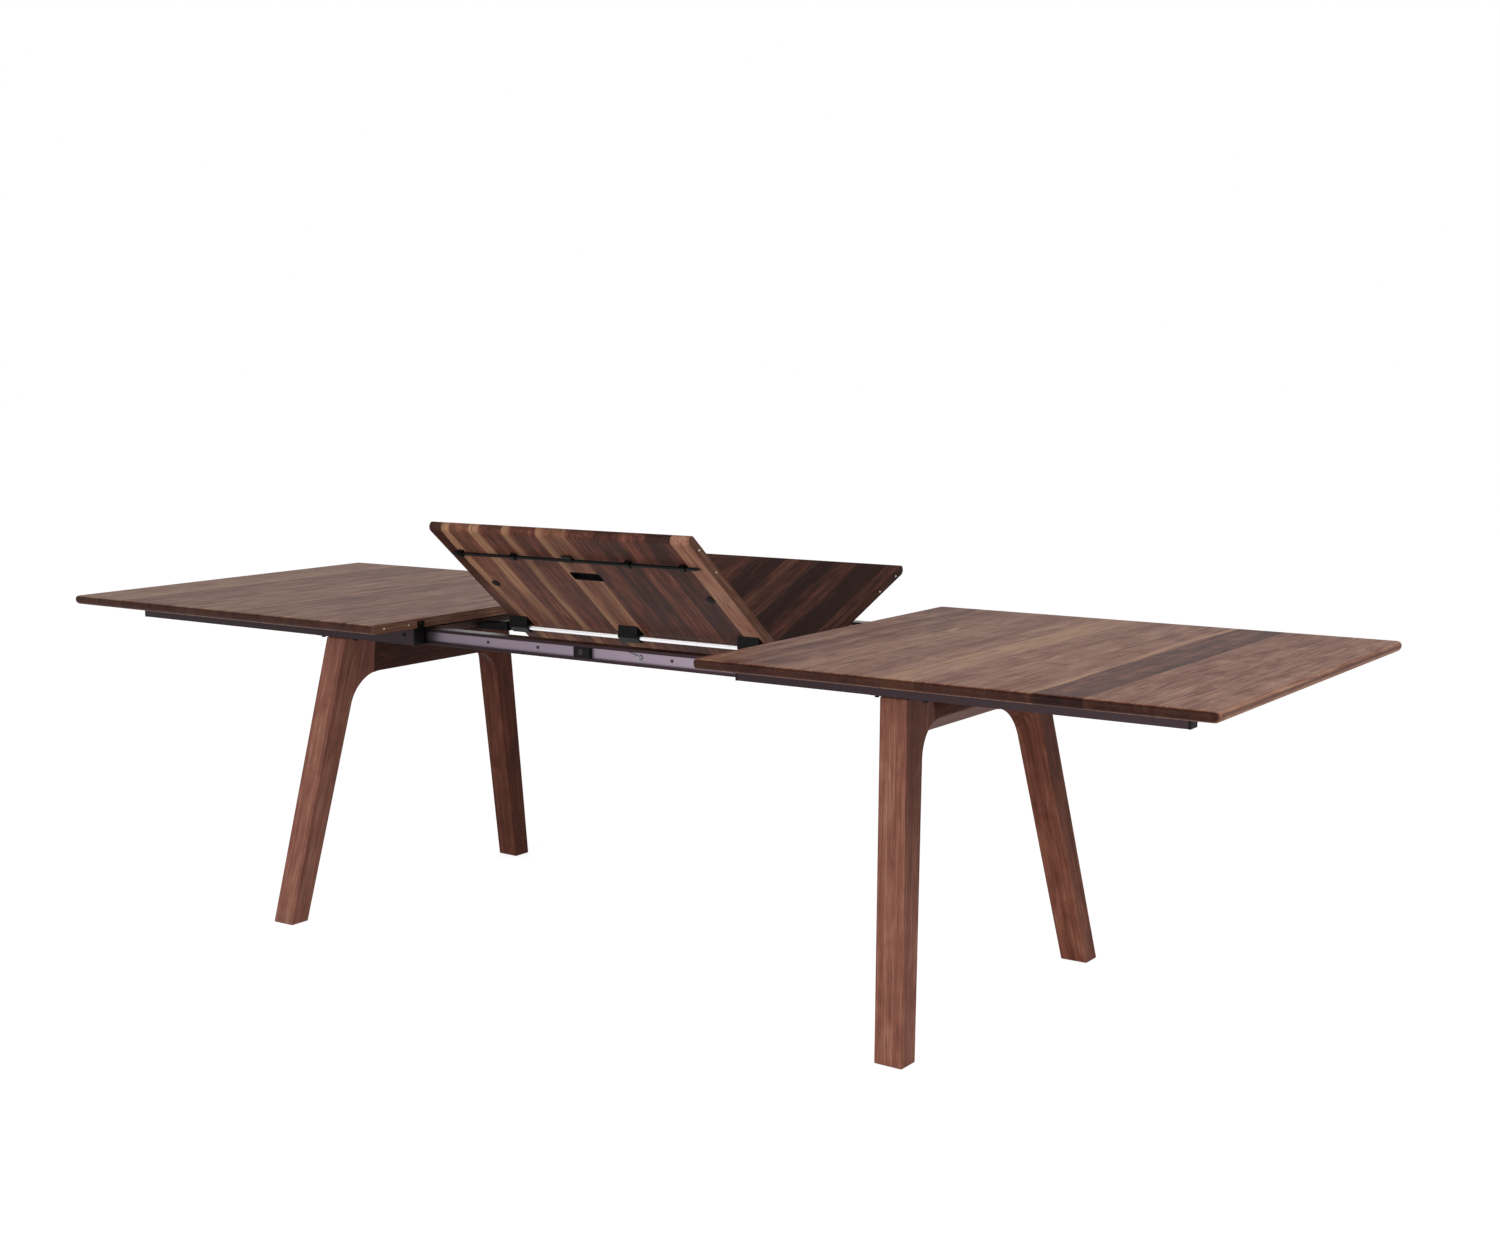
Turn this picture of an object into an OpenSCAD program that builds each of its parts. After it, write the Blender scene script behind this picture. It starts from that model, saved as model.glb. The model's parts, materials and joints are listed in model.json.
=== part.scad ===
// Extendable dining table: two sliding top halves, a folding butterfly leaf that turns on a
// cross rod, two aluminium beams and two splayed trestles. Millimetres, +Z up, X is the length.
// The leaf is modelled half lifted, as it stands while the table is being extended.

/* [Table] */
// Height of the finished top above the floor
table_h = 750; // [700:5:780]
// Width across the top
table_w = 956; // [900:2:1000]
// Length of one sliding half of the top
half_l = 1055; // [1000:5:1200]
// Thickness of the top boards and leaf panels
top_t = 21; // [20:1:24]
// Radius of the outer edges on the upper side
edge_r = 8; // [3:0.5:8]
// Radius of the outer edges on the lower side
under_r = 12; // [8:0.5:12]
// Radius of the plan corners of the top
corner_r = 13; // [13:1:24]
// Free opening between the two halves
opening = 880; // [880:10:940]

/* [Butterfly leaf] */
// Length of the leaf along the table
leaf_l = 710; // [500:10:720]
// Angle of the lifted front panel above level
leaf_tilt = 41; // [0:1:60]
// Back panel angle for each degree of the front panel
back_share = 0.55; // [0.5:0.01:0.6]
// Distance of the turning rod from the fold line
rod_y = 120; // [100:5:150]
// Depth of the rod centre below the top surface
rod_drop = 34; // [32:1:40]
// Radius of the turning rod
rod_r = 6; // [5:0.5:8]

/* [Trestles] */
// Outward lean of each trestle in degrees
lean = 6; // [0:0.5:10]
// Sideways splay of the outer edge of the legs in degrees
splay = 11.25; // [8:0.25:14]
// Sideways splay of the inner edge of the legs in degrees
splay_in = 12.4; // [8:0.1:16]
// Thickness of the trestle timber along the table
leg_t = 62; // [45:1:70]
// Width of each foot across the table
leg_w = 50; // [40:1:70]
// Outer edge of each foot from the centre line
foot_y = 416; // [360:2:440]
// Inner face of each foot from the middle of the table
foot_x = 807; // [700:1:900]
// Top of the trestle timber
trestle_h = 676; // [640:1:678]
// Underside of the apron at its inner face
apron_low = 584; // [540:1:620]
// Rise of the apron underside from the inner to the outer face
apron_bevel = 41; // [0:1:60]
// Radius of the knee between leg and apron
knee_r = 90; // [40:5:140]
// Height of the slip pads under the feet
pad_h = 2; // [1:0.5:4]

/* [Running gear] */
// Outer face of the sliding rails from the centre line
rail_y = 345; // [330:1:360]
// Width of the sliding rails
rail_w = 29.4; // [20:0.1:40]
// Depth of the sliding rails below the top
rail_h = 39; // [30:1:45]
// Half length of the fixed beams
beam_l = 920; // [700:10:920]
// Width of the fixed beams
beam_w = 30; // [20:1:40]
// Height of the fixed beams
beam_h = 36; // [30:1:40]
// Running gap between rails and beams
gap = 0.6; // [0.3:0.1:1]

/* [Hidden] */
$fn = 48;

under = table_h - top_t;
in_x = opening / 2;
out_x = in_x + half_l;
half_w = table_w / 2;
mid_z = table_h - top_t / 2;

rail_z = under - rail_h;
rail_in = rail_y - rail_w;
rail_x0 = in_x + 6;
rail_x1 = out_x - 107;
rail_mid = rail_z + 22;
cap_t = 4;

beam_y = rail_in - gap;
beam_in = beam_y - beam_w;
beam_z0 = rail_z;
beam_z1 = rail_z + beam_h;
groove = 8;
lip_low = 6.5;
lip_top = 7;
ch_z0 = beam_z0 + lip_low;
ch_z1 = beam_z1 - lip_top;
web_y = beam_y - groove;

bar_x = in_x + 1;
bar_w = 29;
bar_z0 = beam_z1 - 14;

piv_y = -rod_y;
piv_z = table_h - rod_drop;
leaf_x = leaf_l / 2;
seam = 0.2;
back_tilt = leaf_tilt * back_share;
fold_y = piv_y + rod_y * cos(leaf_tilt) + rod_drop * sin(leaf_tilt);
fold_z = piv_z - rod_y * sin(leaf_tilt) + rod_drop * cos(leaf_tilt);

dowel_ys = [440, 365];
dowel_r = 2.5;
bush_r = 5.5;
hinge_xs = [-250, 0, 250];
knuckle_r = 3;
pin_r = 1.5;
block_xs = [-326, -4, 320];
block_w = 54;

lock_y = -395;
lock_z = under - 6;
lock_r = 3.6;
clip_xs = [-314, -160, 156, 298];

pull_y = -329;
pull_w = 84;
pull_h = 28;
pull_r = 6;
pull_d = 12;

foot_in = foot_y - leg_w;
t_perp = leg_t * cos(lean);
knee_seam = 185;

walnut = [0.33, 0.21, 0.15];
walnut_dark = [0.26, 0.16, 0.12];
anodised = [0.3, 0.25, 0.28];
black = [0.05, 0.05, 0.055];
steel = [0.72, 0.72, 0.73];
brass = [0.7, 0.58, 0.36];

// ---------- helpers ----------

module sided(s) {
  if (s < 0) mirror([1, 0, 0]) children();
  else children();
}

module box(x0, x1, y0, y1, z0, z1) {
  translate([x0, y0, z0]) cube([x1 - x0, y1 - y0, z1 - z0]);
}

module rod_x(x0, x1, y, z, r, f = 48) {
  translate([x0, y, z]) rotate([0, 90, 0]) cylinder(h = x1 - x0, r = r, $fn = f);
}

// Places a child drawn on the level leaf at the lifted front panel
module on_front() {
  translate([0, piv_y, piv_z]) rotate([-leaf_tilt, 0, 0]) translate([0, -piv_y, -piv_z]) children();
}

// Places a child drawn on the level leaf at the lifted back panel
module on_back() {
  translate([0, fold_y, fold_z]) rotate([back_tilt, 0, 0]) translate([0, 0, -table_h]) children();
}

// Rounded edge section: a strip w wide and t high with its outer edge at w
module edge_2d(w, t) {
  lo = under_r;
  hi = edge_r;
  square([w - lo, t]);
  translate([w - lo, lo]) square([lo, t - lo - hi]);
  translate([w - lo, lo]) square([lo - hi, t - lo]);
  intersection() {
    translate([w - lo, lo]) circle(lo);
    translate([w - lo, 0]) square(lo);
  }
  intersection() {
    translate([w - hi, t - hi]) circle(hi);
    translate([w - hi, t - hi]) square(hi);
  }
}

// ---------- trestles ----------

// Tangent height of the knee arc on the leg
function knee_t(a) = a - knee_r + knee_r * sin(splay_in);
function knee_y(a) = foot_in - tan(splay_in) * knee_t(a) - knee_r * cos(splay_in);
function leg_in(v) = foot_in - tan(splay_in) * v;

// Opening under the apron, drawn in the trestle plane with its crown at height a
module arch_2d(a) {
  for (m = [-1, 1])
    translate([m * knee_y(a), a - knee_r]) circle(knee_r, $fn = 120);
  polygon([
    [-leg_in(-80), -80], [-leg_in(knee_t(a)), knee_t(a)], [-knee_y(a), a],
    [knee_y(a), a], [leg_in(knee_t(a)), knee_t(a)], [leg_in(-80), -80]]);
}

module trestle_2d() {
  top = 700;
  polygon([
    [-foot_y - tan(splay) * 60, -60], [-foot_y + tan(splay) * top, top],
    [foot_y - tan(splay) * top, top], [foot_y + tan(splay) * 60, -60]]);
}

// The opening through the timber: its whole crown rises from the inner to the outer face
module arch_cut() {
  low = apron_low / cos(lean);
  high = (apron_low + apron_bevel - t_perp * sin(lean)) / cos(lean);
  rise = (high - low) / t_perp;
  hull()
    for (d = [-1, t_perp + 1])
      translate([d, 0, 0]) rotate([90, 0, 90]) linear_extrude(0.01) arch_2d(low + rise * d);
}

module trestle_plane() {
  difference() {
    rotate([90, 0, 90]) linear_extrude(t_perp) trestle_2d();
    arch_cut();
  }
}

// Whole trestle of one end: y0 and y1 pick the leg or apron between the knee seams
module trestle_piece(s, y0, y1) {
  sided(s) intersection() {
    translate([foot_x, 0, 0]) rotate([0, -lean, 0]) trestle_plane();
    box(foot_x - 120, foot_x + 120, y0, y1, pad_h, trestle_h);
  }
}

module front_leg(s) {
  color(walnut) trestle_piece(s, -foot_y - 20, -knee_seam);
}

module back_leg(s) {
  color(walnut) trestle_piece(s, knee_seam, foot_y + 20);
}

module apron(s) {
  color(walnut_dark) trestle_piece(s, -knee_seam, knee_seam);
}

module foot_pads() {
  color(black)
    for (s = [-1, 1])
      for (m = [-1, 1])
        translate([s * (foot_x + leg_t / 2), m * (foot_y - leg_w / 2), 0])
          cylinder(h = pad_h, r = 17);
}

// ---------- heads that carry the beams ----------

head_x = foot_x + leg_t / 2 - trestle_h * tan(lean) + 7;
head_z = trestle_h + 5;
head_l = 62;
head_w = 278;
bolt_dx = 54;
bolt_ys = [-264, -110, 110, 264];

module bolt_holes(s, z0, z1, r) {
  for (dx = [-bolt_dx, bolt_dx])
    for (y = bolt_ys)
      translate([s * (head_x + dx), y, z0]) cylinder(h = z1 - z0, r = r, $fn = 32);
}

module head_plate(s) {
  color(black) difference() {
    sided(s) box(head_x - head_l, head_x + head_l, -head_w, head_w, trestle_h, head_z);
    bolt_holes(s, trestle_h - 1, head_z + 1, 3.1);
  }
}

// Box section with a foot flange on each side, welded between the two beams
module head_channel(s) {
  color(anodised) difference() {
    sided(s) union() {
      box(head_x - head_l, head_x + head_l, -beam_in, beam_in, head_z, head_z + 4);
      box(head_x - 40, head_x + 40, -beam_in, beam_in, head_z, beam_z1);
    }
    sided(s) box(head_x - 36, head_x + 36, -beam_in - 1, beam_in + 1, head_z + 4, beam_z1 - 4);
    bolt_holes(s, head_z - 1, head_z + 5, 3.1);
  }
}

module head_bolts() {
  color(steel)
    for (s = [-1, 1])
      for (dx = [-bolt_dx, bolt_dx])
        for (y = bolt_ys)
          translate([s * (head_x + dx), y, trestle_h - 5]) {
            cylinder(h = 5, r = 5, $fn = 6);
            translate([0, 0, 4]) cylinder(h = 17, r = 3, $fn = 32);
            translate([0, 0, 14]) cylinder(h = 4, r = 5, $fn = 6);
          }
}

// ---------- fixed beams ----------

module beam_solid() {
  difference() {
    box(-beam_l, beam_l, -beam_y, -beam_in, beam_z0, beam_z1);
    box(-beam_l - 1, beam_l + 1, -beam_y - 1, -web_y, ch_z0, ch_z1);
    box(-beam_l - 1, beam_l + 1, -web_y + 3, -beam_in - 3, beam_z0 + 3, beam_z1 - 3);
  }
}

module front_beam() {
  color(anodised) beam_solid();
}

module back_beam() {
  color(anodised) mirror([0, 1, 0]) beam_solid();
}

module beam_end_caps() {
  color(black)
    for (s = [-1, 1])
      for (m = [0, 1])
        mirror([0, m, 0]) sided(s)
          box(beam_l, beam_l + 3, -beam_y, -beam_in, beam_z0, beam_z1);
}

module beam_screws() {
  color(steel)
    for (m = [0, 1])
      mirror([0, m, 0])
        for (x = [-640, -255, -110, 255, 640])
          translate([x, -web_y, (ch_z0 + ch_z1) / 2]) rotate([90, 0, 0]) {
            cylinder(h = 1.2, r = 3.4);
            translate([0, 0, 1]) cylinder(h = 0.8, r1 = 3, r2 = 1.6);
          }
}

module cross_bar(s) {
  color(walnut_dark) sided(s) difference() {
    box(bar_x, bar_x + bar_w, -beam_in, beam_in, bar_z0, beam_z1);
    box(bar_x + 2, bar_x + bar_w - 2, -beam_in - 1, beam_in + 1, bar_z0 + 2, beam_z1 - 2);
  }
}

module leaf_rod() {
  color(steel) rod_x(-leaf_x - 21, leaf_x + 21, piv_y, piv_z, rod_r, 64);
}

module rod_bracket(s) {
  color(black) sided(s) difference() {
    union() {
      box(leaf_x + 1, leaf_x + 21, piv_y - 17, piv_y + 17, bar_z0 - 7, beam_z1 + 1);
      box(leaf_x + 21, bar_x + bar_w, piv_y - 17, piv_y + 17, bar_z0 - 7, bar_z0);
      box(leaf_x + 21, bar_x, piv_y - 17, piv_y - 12, bar_z0, bar_z0 + 8);
      box(leaf_x + 21, bar_x, piv_y + 12, piv_y + 17, bar_z0, bar_z0 + 8);
    }
    rod_x(leaf_x, leaf_x + 21, piv_y, piv_z, rod_r + 0.03, 64);
  }
}

module sync_block() {
  color(black) difference() {
    box(-3, 41, -beam_y + 0.5, -web_y, ch_z0 + 0.5, ch_z1 - 0.5);
    translate([15, -beam_y, (ch_z0 + ch_z1) / 2]) rotate([90, 0, 0])
      translate([0, 0, -3]) cylinder(h = 5, r = 6.5);
  }
}

module sync_block_bolt() {
  color(steel) translate([15, -beam_y + 3, (ch_z0 + ch_z1) / 2]) rotate([90, 0, 0]) difference() {
    cylinder(h = 2, r = 6.3);
    translate([0, 0, 0.8]) cylinder(h = 2, r = 3.2, $fn = 6);
  }
}

// Small wire eye that anchors the hidden synchronising cable in the front beam
module cable_eyelet() {
  color(steel) {
    translate([172, -web_y - 1.8, ch_z0 + 12]) rotate([90, 0, 0])
      rotate_extrude($fn = 48) translate([4.2, 0]) circle(1.4, $fn = 24);
    translate([168.4, -web_y - 1.8, ch_z0 + 14.4]) rotate([0, -75, 0])
      cylinder(h = 26, r = 0.9, $fn = 24);
    translate([172, -web_y, ch_z0 + 12]) rotate([90, 0, 0]) cylinder(h = 3.6, r = 2);
  }
}

// ---------- sliding halves ----------

// Outline of one half drawn as a board from x = 0 (inner edge) to x = half_l
module half_board() {
  w = half_w;
  l = half_l;
  c = corner_r;
  box(0, l - c, -w + c, w - c, 0, top_t);
  for (m = [0, 1])
    mirror([0, m, 0])
      translate([0, w - c, 0]) rotate([90, 0, 90]) linear_extrude(l - c) edge_2d(c, top_t);
  translate([l - c, w - c, 0]) rotate([90, 0, 0]) linear_extrude(2 * (w - c)) edge_2d(c, top_t);
  for (m = [0, 1])
    mirror([0, m, 0])
      translate([l - c, w - c, 0]) rotate_extrude(angle = 90, $fn = 64) edge_2d(c, top_t);
}

module edge_holes(x, r, depth) {
  for (m = [-1, 1])
    for (y = dowel_ys)
      rod_x(x, x + depth, m * y, mid_z, r);
}

module half_top(s, r) {
  color(walnut) sided(s) difference() {
    translate([in_x, 0, under]) half_board();
    edge_holes(in_x - 1, r, 21);
    for (m = [0, 1])
      mirror([0, m, 0]) box(in_x - 1, in_x + 3, -338, -315, under - 1, table_h - 6);
  }
}

module rail_solid() {
  difference() {
    box(rail_x0, rail_x1, -rail_y, -rail_in, rail_z, under);
    box(rail_x0 - 1, rail_x1 + 1, -rail_y + 3, -rail_in - 3, rail_z + 3, under - 3);
    for (x = rail_screw_xs)
      translate([x, -rail_y, rail_mid]) rotate([90, 0, 0])
        translate([0, 0, -4]) cylinder(h = 5, r = 2.6);
  }
}

rail_screw_xs = [in_x + 35, in_x + 340, in_x + 640, in_x + 900];

module front_rail(s) {
  color(anodised) sided(s) rail_solid();
}

module back_rail(s) {
  color(anodised) sided(s) mirror([0, 1, 0]) rail_solid();
}

// Low-friction shoes that run in the channels of the beams
module rail_glides(s) {
  x_a = s < 0 ? in_x + 8 : in_x + 50;
  color(black) sided(s)
    for (m = [0, 1])
      mirror([0, m, 0])
        for (x = [x_a, in_x + 390])
          box(x, x + 60, -rail_in, -web_y - gap, ch_z0 + gap, ch_z1 - gap);
}

module end_bar(s) {
  color(anodised) sided(s) difference() {
    box(rail_x1 - 24, rail_x1, -rail_in, rail_in, rail_z + 6, under);
    box(rail_x1 - 22, rail_x1 - 2, -rail_in - 1, rail_in + 1, rail_z + 8, under - 2);
  }
}

module rail_caps(s) {
  color(black) sided(s)
    for (m = [0, 1])
      mirror([0, m, 0])
        for (x = [rail_x0 - cap_t, rail_x1])
          box(x, x + cap_t, -rail_y - 0.5, -rail_in + 0.2, rail_z - 0.5, under);
}

module rail_screws(s) {
  color(black) sided(s)
    for (m = [0, 1])
      mirror([0, m, 0])
        for (x = rail_screw_xs)
          translate([x, -rail_y, rail_mid]) rotate([90, 0, 0]) {
            cylinder(h = 1.4, r = 4.2);
            translate([0, 0, -2.8]) cylinder(h = 3, r = 2.5);
          }
}

module latch_plates(s) {
  color(black) sided(s)
    for (m = [0, 1])
      mirror([0, m, 0]) difference() {
        box(in_x, in_x + 3, -338, -315, under, table_h - 6);
        rod_x(in_x - 1, in_x + 4, -326.5, mid_z - 1, 3);
      }
}

// Dowel with a tapered nose, standing out of an end face at x towards -X
module dowel(x, y) {
  rod_x(x - 2, x + 20, y, mid_z, dowel_r);
  translate([x - 2, y, mid_z]) rotate([0, -90, 0]) cylinder(h = 1, r1 = dowel_r, r2 = dowel_r - 0.8);
}

module socket(x, y) {
  difference() {
    rod_x(x, x + 20, y, mid_z, bush_r);
    rod_x(x - 1, x + 12, y, mid_z, dowel_r + 0.3);
  }
}

module left_dowels() {
  color(brass)
    for (m = [-1, 1])
      for (y = dowel_ys)
        mirror([1, 0, 0]) dowel(in_x, m * y);
}

module right_sockets() {
  color(brass)
    for (m = [-1, 1])
      for (y = dowel_ys)
        socket(in_x, m * y);
}

// ---------- folding leaf ----------

// One level leaf panel on the -Y side of the fold, with its long outer edge softened
module leaf_board() {
  c = under_r + 2;
  difference() {
    union() {
      box(-leaf_x, leaf_x, -half_w + c, -seam, under, table_h);
      translate([leaf_x, -half_w + c, under]) rotate([90, 0, -90]) linear_extrude(leaf_l)
        edge_2d(c, top_t);
    }
    for (y = dowel_ys) {
      rod_x(leaf_x - 20, leaf_x + 1, -y, mid_z, dowel_r);
      rod_x(-leaf_x - 1, -leaf_x + 20, -y, mid_z, bush_r);
    }
    for (x = hinge_xs) {
      rod_x(x - 30.3, x + 30.3, 0, table_h, knuckle_r + 0.5);
      box(x - 30, x + 30, -24, 1, table_h - 1.8, table_h + 1);
    }
  }
}

module pull_form(inset, z0, z1) {
  w = pull_w / 2 - pull_r;
  h = pull_h / 2 - pull_r;
  r = pull_r - inset;
  for (m = [-1, 1])
    for (k = [-1, 1])
      translate([m * w, pull_y + k * h, z0]) cylinder(h = z1 - z0, r = r);
  box(-w - r, w + r, pull_y - h, pull_y + h, z0, z1);
  box(-w, w, pull_y - h - r, pull_y + h + r, z0, z1);
}

module front_leaf_panel() {
  color(walnut) on_front() difference() {
    leaf_board();
    pull_form(0, under - 1, under + pull_d);
  }
}

module back_leaf_panel() {
  color(walnut_dark) on_back() mirror([0, 1, 0]) leaf_board();
}

module leaf_hinge_blocks() {
  color(black) on_front()
    for (x = block_xs)
      difference() {
        translate([x - block_w / 2, 0, 0]) rotate([90, 0, 90]) linear_extrude(block_w) polygon([
          [piv_y - 25, under], [piv_y - 21, under - 5], [piv_y - 10, piv_z - 9],
          [piv_y + 10, piv_z - 9], [piv_y + 21, under - 5], [piv_y + 25, under]]);
        rod_x(x - block_w, x + block_w, piv_y, piv_z, rod_r + 0.06, 64);
      }
}

module finger_pull() {
  color(black) on_front() difference() {
    pull_form(0.02, under, under + pull_d - 0.02);
    pull_form(1.5, under - 1, under + pull_d - 1.5);
  }
}

module lock_bar_clips() {
  color(black) on_front()
    for (x = clip_xs)
      difference() {
        box(x - 7, x + 7, lock_y - 6.5, lock_y + 6.5, lock_z - 5.2, under);
        rod_x(x - 8, x + 8, lock_y, lock_z, lock_r + 0.07);
      }
}

module lock_bar() {
  color(black) on_front() {
    rod_x(-332, 332, lock_y, lock_z, lock_r);
    for (m = [-1, 1])
      translate([m * 331, lock_y, lock_z]) rotate([0, m * 90, 0]) cylinder(h = 10, r1 = lock_r, r2 = 1.2);
    box(-15, 9, lock_y - 16, lock_y, lock_z - 1.4, lock_z + 1.4);
    rod_x(-15, 9, lock_y, lock_z, lock_r + 1);
  }
}

module leaf_bumpers() {
  color(black) on_front()
    for (m = [-1, 1])
      translate([m * 298, -beam_in + 8, under - 2.5]) cylinder(h = 2.5, r = 9.5);
}

module leaf_sockets_flat(m) {
  for (y = dowel_ys)
    socket(-leaf_x, m * y);
}

module front_leaf_dowels() {
  color(brass) on_front()
    for (y = dowel_ys)
      translate([2 * leaf_x, 0, 0]) mirror([1, 0, 0]) dowel(leaf_x, -y);
}

module back_leaf_dowels() {
  color(brass) on_back()
    for (y = dowel_ys)
      translate([2 * leaf_x, 0, 0]) mirror([1, 0, 0]) dowel(leaf_x, y);
}

module front_leaf_sockets() {
  color(brass) on_front() leaf_sockets_flat(-1);
}

module back_leaf_sockets() {
  color(brass) on_back() leaf_sockets_flat(1);
}

// Half of a fold hinge on the -Y side: spans list the knuckles it carries
module fold_half(x, spans, bore) {
  difference() {
    union() {
      box(x - 30, x + 30, -24, -knuckle_r - 0.5, table_h - 1.8, table_h);
      for (p = spans) {
        box(x + p[0], x + p[1], -knuckle_r - 1, -1, table_h - 1.8, table_h);
        rod_x(x + p[0], x + p[1], 0, table_h, knuckle_r);
      }
    }
    rod_x(x - 31, x + 31, 0, table_h, bore);
  }
}

module fold_hinge_front() {
  color(brass) on_front()
    for (x = hinge_xs)
      fold_half(x, [[-30, -12], [12, 30]], pin_r);
}

module fold_hinge_back() {
  color(brass) on_back() mirror([0, 1, 0])
    for (x = hinge_xs)
      fold_half(x, [[-11.7, 11.7]], pin_r + 0.06);
}

module fold_hinge_pins() {
  color(steel) on_front()
    for (x = hinge_xs)
      rod_x(x - 30, x + 30, 0, table_h, pin_r);
}

// ---------- parts ----------

front_leg(-1);  // left_front_leg
back_leg(-1);  // left_back_leg
apron(-1);  // left_apron
front_leg(1);  // right_front_leg
back_leg(1);  // right_back_leg
apron(1);  // right_apron
foot_pads();
head_plate(-1);  // left_head_plate
head_plate(1);  // right_head_plate
head_channel(-1);  // left_head_channel
head_channel(1);  // right_head_channel
head_bolts();
front_beam();
back_beam();
beam_end_caps();
beam_screws();
cross_bar(-1);  // left_cross_bar
cross_bar(1);  // right_cross_bar
leaf_rod();
rod_bracket(-1);  // left_rod_bracket
rod_bracket(1);  // right_rod_bracket
sync_block();
sync_block_bolt();
cable_eyelet();
half_top(-1, dowel_r);  // left_top
front_rail(-1);  // left_front_rail
back_rail(-1);  // left_back_rail
rail_glides(-1);  // left_rail_glides
end_bar(-1);  // left_end_bar
rail_caps(-1);  // left_rail_caps
rail_screws(-1);  // left_rail_screws
latch_plates(-1);  // left_latch_plates
left_dowels();
half_top(1, bush_r);  // right_top
front_rail(1);  // right_front_rail
back_rail(1);  // right_back_rail
rail_glides(1);  // right_rail_glides
end_bar(1);  // right_end_bar
rail_caps(1);  // right_rail_caps
rail_screws(1);  // right_rail_screws
latch_plates(1);  // right_latch_plates
right_sockets();
front_leaf_panel();
leaf_hinge_blocks();
finger_pull();
lock_bar_clips();
leaf_bumpers();
front_leaf_dowels();
front_leaf_sockets();
fold_hinge_front();
fold_hinge_pins();
lock_bar();
back_leaf_panel();
fold_hinge_back();
back_leaf_dowels();
back_leaf_sockets();
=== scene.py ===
import json
import math

import bmesh
import bpy
from mathutils import Matrix, Vector


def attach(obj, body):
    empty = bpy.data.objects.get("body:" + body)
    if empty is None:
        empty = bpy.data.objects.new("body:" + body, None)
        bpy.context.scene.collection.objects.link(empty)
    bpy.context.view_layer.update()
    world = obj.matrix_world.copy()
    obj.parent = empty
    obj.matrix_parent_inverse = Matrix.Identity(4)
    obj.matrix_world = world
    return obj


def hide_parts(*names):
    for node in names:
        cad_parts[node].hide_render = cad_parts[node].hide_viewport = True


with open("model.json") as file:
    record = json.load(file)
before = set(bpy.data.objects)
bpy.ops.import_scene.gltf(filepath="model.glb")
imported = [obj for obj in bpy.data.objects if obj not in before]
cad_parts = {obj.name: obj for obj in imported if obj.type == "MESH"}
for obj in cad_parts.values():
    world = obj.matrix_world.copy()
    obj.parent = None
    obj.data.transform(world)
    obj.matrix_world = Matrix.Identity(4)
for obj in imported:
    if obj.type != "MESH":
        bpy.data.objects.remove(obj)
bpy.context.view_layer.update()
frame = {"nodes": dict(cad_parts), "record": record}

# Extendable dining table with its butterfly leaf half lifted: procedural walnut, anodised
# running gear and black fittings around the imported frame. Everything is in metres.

MM = 0.001
nodes = frame["nodes"]
body_of_node = {n: b for b, ns in frame["record"]["behaviour"]["bodies"].items() for n in ns}

# ---------------------------------------------------------------- camera, floor and light

# where the camera stands, its turn to the left, its dip and its roll
CAM_AT = Vector((2.65908, -3.39864, 1.3088))
CAM_YAW, CAM_PITCH, CAM_ROLL = (math.radians(a) for a in (35.53, 7.68, -0.45))
CAM_LENS, CAM_SENSOR = 46.51, 36
CAM_CLIP = (0.05, 200)

# radiance of the low band and of the ceiling, and the sines of the heights where one turns
# into the other
BAND_LIGHT, CEILING_LIGHT = 1.2, 0.04
BAND_TOP = (0.42, 0.70)
# the band fades between these two sines towards +X, to this share of its light
BAND_FADE = (0.1, 0.9)
BAND_RIGHT = 0.35

FLOOR_REACH = 60
FLOOR_ALBEDO, FLOOR_GLOW = 0.5, 0.85
FLOOR_ROUGH = 0.9

# name, place, point aimed at, size and power of each lamp
LAMPS = (
    ("key", (0.2, -4.3, 1.2), (0.3, 0, 0.55), (2.4, 1.6), 58),
    ("side", (4.0, -0.9, 2.6), (0.8, 0, 0.7), (1.6, 1.6), 50),
)


def make_camera():
    cam = bpy.data.objects.new("camera", bpy.data.cameras.new("camera"))
    bpy.context.scene.collection.objects.link(cam)
    cam.data.lens, cam.data.sensor_width = CAM_LENS, CAM_SENSOR
    cam.data.clip_start, cam.data.clip_end = CAM_CLIP
    ahead = Vector((-math.sin(CAM_YAW) * math.cos(CAM_PITCH),
                    math.cos(CAM_YAW) * math.cos(CAM_PITCH), -math.sin(CAM_PITCH)))
    right = Vector((math.cos(CAM_YAW), math.sin(CAM_YAW), 0))
    up = right.cross(ahead)
    c, s = math.cos(CAM_ROLL), math.sin(CAM_ROLL)
    x, y = right * c + up * s, up * c - right * s
    m = Matrix((x, y, -ahead)).transposed().to_4x4()
    m.translation = CAM_AT
    cam.matrix_world = m
    bpy.context.scene.camera = cam


def area_light(name, at, aim, size, watts):
    data = bpy.data.lights.new(name, "AREA")
    data.shape, data.size, data.size_y = "RECTANGLE", size[0], size[1]
    data.energy = watts
    lamp = bpy.data.objects.new(name, data)
    bpy.context.scene.collection.objects.link(lamp)
    lamp.location = at
    lamp.rotation_mode = "QUATERNION"
    lamp.rotation_quaternion = (Vector(aim) - Vector(at)).to_track_quat("-Z", "Y")


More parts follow.
